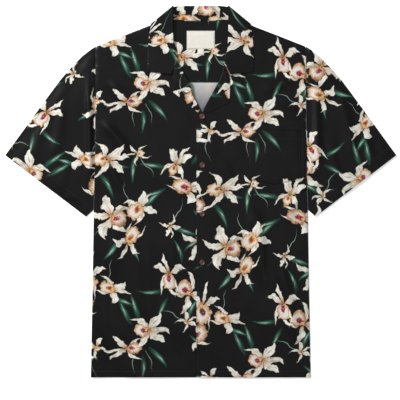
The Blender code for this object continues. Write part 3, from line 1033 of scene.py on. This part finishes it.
def smooth(knots, at):
    """A smooth curve through knots (first axis) at positions from 0 to 1. Each knot's slope is held to
    its shorter neighbouring step, so the curve doesn't overshoot where knots are close."""
    steps = np.diff(knots, axis=0)
    lengths = np.linalg.norm(steps, axis=-1, keepdims=True) + 1e-9
    slopes = np.zeros_like(knots)
    middle = (steps[:-1] + steps[1:]) / 2
    limit = np.minimum(lengths[:-1], lengths[1:])
    slopes[1:-1] = middle * np.minimum(1, limit / (np.linalg.norm(middle, axis=-1, keepdims=True) + 1e-9))
    slopes[0], slopes[-1] = steps[0], steps[-1]
    last = len(knots) - 1
    spot = np.clip(np.asarray(at) * last, 0, last - 1e-9)
    i = spot.astype(int)
    t = (spot - i).reshape(-1, *([1] * (knots.ndim - 1)))
    start = (2 * t**3 - 3 * t**2 + 1) * knots[i] + (t**3 - 2 * t**2 + t) * slopes[i]
    return start + (3 * t**2 - 2 * t**3) * knots[i + 1] + (t**3 - t**2) * slopes[i + 1]


def make_collar():
    half = collar_sections()
    knots = np.concatenate([half[:-1] * np.array([-1, 1, 1]), half[::-1]])
    rows, columns = 150, 40
    lines = smooth(knots, np.linspace(0, 1, rows + 1))
    grid = smooth(lines.transpose(1, 0, 2), np.linspace(0, 1, columns + 1)).transpose(1, 0, 2)
    across = running(grid, axis=1)
    length = running(grid[:, columns // 2])
    length = (length - length[rows // 2])[:, None]

    def place(u, v):
        return np.moveaxis(grid, 2, 0)

    def pattern(x, y, u, v):
        return CUT_AT["collar"][0] - across, CUT_AT["collar"][1] + length

    collar = shell("collar_cloth", "collar", columns, rows, place, pattern, flip=True, wall=COLLAR_SHELL,
                   looks=(PRINT, PRINT))


def pocket_place(u, v):
    x = blend(POCKET_LOW[0], POCKET_HIGH[0], u)
    dip = POCKET_POINT * (1 - np.abs(2 * u - 1))
    height = blend(POCKET_LOW[1] + POCKET_POINT - dip, POCKET_HIGH[1], v)
    edge = np.minimum(np.minimum(u, 1 - u), v) * POCKET_WIDTH
    puff = 0.0007 * ease(edge / 0.012) + 0.0004 * np.sin(np.pi * u) * ease(v)
    hem = 0.0004 * (v > 0.83)
    z = front_top(x, height, 1) + 0.0009 + puff + hem
    return x, height, z - 0.0006 * (1 - rounded(edge / 0.0012))


def make_pocket():
    pocket = shell("pocket_cloth", "pocket", 36, 38, pocket_place, cut("pocket"))


def make_label(name, columns, rows, size, top, rise):
    """A blank woven label on the inner yoke, with its edges held down."""
    width, tall = size

    def place(u, v):
        x, height = (u - 0.5) * width, blend(top - tall, top, v)
        edge = np.minimum(np.minimum(u, 1 - u) * width, np.minimum(v, 1 - v) * tall)
        return x, height, inner_yoke_top(x, height) + 0.0005 + rise * ease(edge / 0.004)

    return shell(f"{name}_cloth", name, columns, rows, place, cut(name), looks=(LABEL, LABEL),
                 wall=LABEL_SHELL, motifs=False)


def make_labels():
    label = make_label("neck_label", 40, 26, LABEL_SIZE, LABEL_TOP, 0.0005)
    tucked = 0.001  # of the tab, under the label
    tab_size = (TAB_SIZE[0], TAB_SIZE[1] + tucked)
    tab = make_label("size_tab", 14, 12, tab_size, LABEL_TOP - LABEL_SIZE[1] + tucked, 0.0004)


# ---- Stitches, buttons and buttonholes
UP = Vector((0, 0, 1))


def capsule(mesh, start, end, radius, up=UP):
    """A short thread between two points: a five-sided tube that narrows at its ends."""
    start, end = Vector(start), Vector(end)
    run = (end - start).normalized()
    side = run.cross(up).normalized()
    top = side.cross(run)
    turns = [k * math.tau / 5 for k in range(5)]
    rings = []
    for share, size in ((0.0, 0.45), (0.2, 1.0), (0.8, 1.0), (1.0, 0.45)):
        centre = start.lerp(end, share)
        spots = [centre + (side * math.cos(a) + top * math.sin(a)) * radius * size for a in turns]
        rings.append([mesh.verts.new(spot) for spot in spots])
    for a, b in zip(rings, rings[1:]):
        for k in range(5):
            mesh.faces.new((a[k], a[(k + 1) % 5], b[(k + 1) % 5], b[k]))
    mesh.faces.new(rings[0][::-1])
    mesh.faces.new(rings[-1])


def mesh_from(name, bm):
    mesh = bpy.data.meshes.new(name)
    bm.to_mesh(mesh)
    bm.free()
    return mesh


def thread_piece(name, bm, look):
    bmesh.ops.recalc_face_normals(bm, faces=bm.faces)
    mesh = mesh_from(name, bm)
    mesh.shade_smooth()
    mesh.materials.append(look)
    piece(name, mesh, None)


def stitch_line(bm, path, surface, face=1, pitch=STITCH):
    """Stitches along a path of (x, height), on a surface(x, height) that gives its z."""
    count = max(2, int(running(path)[-1] / pitch))
    for n in range(count):
        ends = []
        for share in ((n + 0.12) / count, (n + 0.88) / count):
            x, y = along(path, share)
            ends.append((float(x), float(y) + HEM, float(surface(x, y)) + face * THREAD * 0.35))
        capsule(bm, *ends, THREAD, face * UP)


def stitched(name, look, *lines, slot="print_cloth"):
    """One piece made of stitch lines."""
    bm = bmesh.new()
    for line in lines:
        stitch_line(bm, *line)
    thread_piece(name, bm, look)


def right_top(x, y):
    return front_top(x, y, -1)


def left_top(x, y):
    return front_top(x, y, 1)


def underside(x, y):
    return CLEAR


def inner_yoke_top(x, y):
    return over_collar(y) + PLY + SHELL + CLEAR


def label_top(x, y):
    return inner_yoke_top(x, y) + 0.0009


def pocket_top(x, y):
    u = (x - POCKET_LOW[0]) / POCKET_WIDTH
    return pocket_place(u, np.clip((y - POCKET_LOW[1]) / (POCKET_HIGH[1] - POCKET_LOW[1]), 0, 1))[2]


def sleeve_top(x, y):
    """Outer face of a sleeve's upper ply, away from its folds."""
    crest = read([(height, far) for far, height in SLEEVE_CREST[::-1]], y)
    near = max(float(crest - abs(x)) * 0.81, 0.0)
    level = max(float(front_level(x, y)) + CLOTH, SLEEVE_FOLD)
    return blend(SLEEVE_FOLD, level, float(ease(near / 0.030))) + CLEAR


def across_body(height, inset):
    reach = half_width(height) - inset
    return [(-reach, height), (reach, height)]


def make_stitches():
    right_end, left_end = across_body(HEM_STITCH, 0.004)
    placket = TOP_EDGE + STITCH_INSET
    x_low, x_high = POCKET_LOW[0] + STITCH_INSET, POCKET_HIGH[0] - STITCH_INSET
    corner, top = POCKET_LOW[1] + POCKET_POINT + STITCH_INSET, POCKET_HIGH[1] - 0.002
    point = ((POCKET_LOW[0] + POCKET_HIGH[0]) / 2, POCKET_LOW[1] + STITCH_INSET)
    pocket_hem = POCKET_HIGH[1] - 0.020
    stitched(
        "front_stitches", BLACK_THREAD,
        ([right_end, (TOP_EDGE - 0.002, HEM_STITCH)], right_top),
        ([(TOP_EDGE + 0.002, HEM_STITCH), left_end], left_top),
        ([(placket, 0.003), (placket, 0.548)], left_top),
        ([(x_low, top), (x_low, corner), point, (x_high, corner), (x_high, top)], pocket_top),
        ([(POCKET_LOW[0] + 0.001, pocket_hem), (POCKET_HIGH[0] - 0.001, pocket_hem)], pocket_top),
    )
    seam = YOKE_SEAM + 0.004
    stitched(
        "back_stitches", BLACK_THREAD,
        (across_body(seam, 0.002), underside, -1),
        ([(-0.075, seam), (0.075, seam)], inner_yoke_top),
        (across_body(HEM_STITCH, 0.004), underside, -1),
    )
    w, low, high = LABEL_SIZE[0] / 2 - 0.0014, LABEL_TOP - LABEL_SIZE[1] + 0.0014, LABEL_TOP - 0.0014
    outline = [(-w, low), (w, low), (w, high), (-w, high), (-w, low)]
    stitched("label_stitches", PALE_THREAD, (outline, label_top, 1, LABEL_STITCH), slot="label")
    crest, under = (np.array(end) - SLEEVE_RUN * SLEEVE_HEM_STITCH for end in (SLEEVE_TIP, SLEEVE_UNDER))
    ends = (blend(crest, under, 0.02), blend(crest, under, 0.95))
    for hand, side in HANDS:
        path = [(side * x, y) for x, y in ends]
        stitched(f"{hand}_sleeve_stitches", BLACK_THREAD, (path, sleeve_top), (path, underside, -1))


def button_mesh(thick, radius):
    """A turned button with a dished face, rounded rim and four holes."""
    profile = (  # shares of the radius and thickness, from the face's middle round to the back's
        (0.00, 0.70), (0.60, 0.70), (0.70, 0.78), (0.77, 0.95), (0.84, 1.00), (0.92, 0.96),
        (0.98, 0.80), (1.00, 0.55), (0.96, 0.25), (0.84, 0.04), (0.70, 0.00), (0.00, 0.00),
    )
    bm = bmesh.new()
    verts = [bm.verts.new((radius * r, 0, thick * z)) for r, z in profile]
    edges = [bm.edges.new(pair) for pair in zip(verts, verts[1:])]
    bmesh.ops.spin(bm, geom=verts + edges, axis=UP, cent=(0, 0, 0), steps=48, angle=math.tau)
    bmesh.ops.remove_doubles(bm, verts=bm.verts, dist=1e-6)
    bmesh.ops.recalc_face_normals(bm, faces=bm.faces)
    disc = in_scene("button_blank", mesh_from("button", bm))
    bm = bmesh.new()
    for dx, dy in itertools.product((-1, 1), repeat=2):
        hole = bmesh.ops.create_cone(bm, segments=16, radius1=HOLE_RADIUS, radius2=HOLE_RADIUS,
                                     depth=thick * 3, cap_ends=True)["verts"]
        bmesh.ops.translate(bm, verts=hole, vec=(dx * HOLE_OFFSET, dy * HOLE_OFFSET, thick / 2))
    cutter = in_scene("holes", mesh_from("holes", bm))
    holes = disc.modifiers.new("holes", "BOOLEAN")
    holes.operation = "DIFFERENCE"
    holes.object = cutter
    done = bpy.data.meshes.new_from_object(disc.evaluated_get(bpy.context.evaluated_depsgraph_get()))
    bpy.data.objects.remove(disc)
    bpy.data.objects.remove(cutter)
    done.shade_smooth()
    done.set_sharp_from_angle(angle=math.radians(40))
    done.materials.clear()
    done.materials.append(BUTTON)
    return done


def make_buttons():
    low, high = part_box("button_1")
    thick = high.z - low.z
    mesh = button_mesh(thick, (high.x - low.x) / 2)
    rng = random.Random(5)
    for number in range(1, 6):
        low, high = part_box(f"button_{number}")
        middle = (low + high) / 2
        turn = rng.uniform(-0.5, 0.5)
        piece(f"button_{number}_turned", mesh.copy(), f"button_{number}",
              (middle.x, middle.y, low.z), turn)

        bm = bmesh.new()
        top = low.z + thick * 0.74
        for dy, strand in itertools.product((-1, 1), (-1, 0, 1)):
            y = middle.y + dy * HOLE_OFFSET + strand * 0.00028
            capsule(bm, (middle.x - 0.00150, y, top), (middle.x + 0.00150, y, top), 0.00020)
        bmesh.ops.rotate(bm, verts=bm.verts, cent=middle, matrix=Matrix.Rotation(turn, 3, "Z"))
        thread_piece(f"button_{number}_thread", bm, BROWN_THREAD)

        bm = bmesh.new()
        for side in (-1, 1):
            for y in middle.y + np.linspace(-1, 1, 40) * BUTTONHOLE / 2:
                z = float(left_top(middle.x, y - HEM)) + 0.00012
                ends = (middle.x + side * 0.0003, y, z), (middle.x + side * 0.0014, y + 0.00012, z)
                capsule(bm, *ends, 0.00016)
        thread_piece(f"buttonhole_{number}_stitches", bm, BLACK_THREAD)


# ---- Stage
VIEW_WIDTH = 0.860
CAMERA_OVER = (-0.0017, -0.0183)
LAMPS = (  # name, place, diameter, power
    ("key", (-2.3, 1.9, 1.9), 0.8, 156),
    ("fill", (2.2, -1.2, 2.8), 2.0, 12),
    ("top", (0, 0.2, 4.0), 2.5, 13),
)


def make_stage():
    bm = bmesh.new()
    bmesh.ops.create_grid(bm, x_segments=1, y_segments=1, size=6)
    floor = in_scene("floor", mesh_from("floor", bm))
    floor.location.z = -0.0002
    made, shader = material("floor", 0.9, specular=0.1)
    paper = mix(noise(object_place(made.node_tree), 3.0), (0.96, 0.96, 0.96, 1), (0.99, 0.99, 0.99, 1))
    feed(shader, {"Base Color": paper, "Emission Color": (1, 1, 1, 1), "Emission Strength": 0.35})
    floor.data.materials.append(made)

    world = bpy.data.worlds.new("studio")
    bpy.context.scene.world = world
    world.use_nodes = True
    feed(world.node_tree.nodes["Background"], {"Color": (1, 1, 1, 1), "Strength": 0.30})

    for name, place, size, power in LAMPS:
        lamp = bpy.data.lights.new(name, "AREA")
        lamp.shape = "DISK"
        lamp.size = size
        lamp.energy = power
        obj = in_scene(name, lamp)
        obj.location = place
        obj.rotation_euler = (-Vector(place)).to_track_quat("-Z", "Y").to_euler()

    camera = bpy.data.cameras.new("camera")
    camera.sensor_width = 36
    camera.lens = 100
    eye = in_scene("camera", camera)
    eye.location = (*CAMERA_OVER, VIEW_WIDTH * camera.lens / camera.sensor_width)
    bpy.context.scene.camera = eye
    bpy.context.scene.view_settings.view_transform = "Standard"


make_stage()
make_back()
make_front("right", -1, UNDER_FRONT_EDGE)
make_front("left", 1, TOP_FRONT_EDGE)
for hand, side in HANDS:
    make_sleeve(hand, side)
make_lapel("right", -1, UNDER_FRONT_EDGE, RIGHT_ROLL_HIGH, RIGHT_OUTER)
make_lapel("left", 1, TOP_FRONT_EDGE, LEFT_ROLL_HIGH, LEFT_OUTER)
make_collar()
make_pocket()
make_labels()
make_buttons()
make_stitches()
